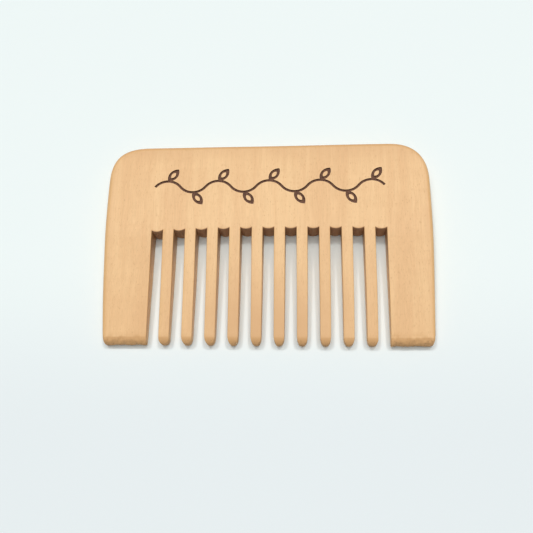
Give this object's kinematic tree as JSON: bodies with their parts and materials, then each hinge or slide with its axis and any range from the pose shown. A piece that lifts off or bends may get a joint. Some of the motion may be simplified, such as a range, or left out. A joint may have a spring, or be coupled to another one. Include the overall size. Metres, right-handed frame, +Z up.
{
  "type": "beard comb",
  "caption": "Flat wooden pocket comb with wide-spaced tapering teeth between two broad end guards, rounded shoulders and an engraved vine.",
  "frame": {"origin": "centre of the comb's box in plan, on the plane of its lower face, as it lies flat", "axes": "+X across the teeth, +Y from the tooth tips towards the solid back, +Z up through the board's thickness"},
  "size_m": [0.1, 0.0636, 0.0068],
  "materials": {
    "pear_wood": "fine-grained pale fruitwood, sanded smooth and lightly waxed, with a satin sheen"
  },
  "bodies": {
    "root": {"back": "pear_wood", "end_guard_left": "pear_wood", "end_guard_right": "pear_wood", "tooth_01": "pear_wood", "tooth_02": "pear_wood", "tooth_03": "pear_wood", "tooth_04": "pear_wood", "tooth_05": "pear_wood", "tooth_06": "pear_wood", "tooth_07": "pear_wood", "tooth_08": "pear_wood", "tooth_09": "pear_wood", "tooth_10": "pear_wood"}
  },
  "joints": []
}
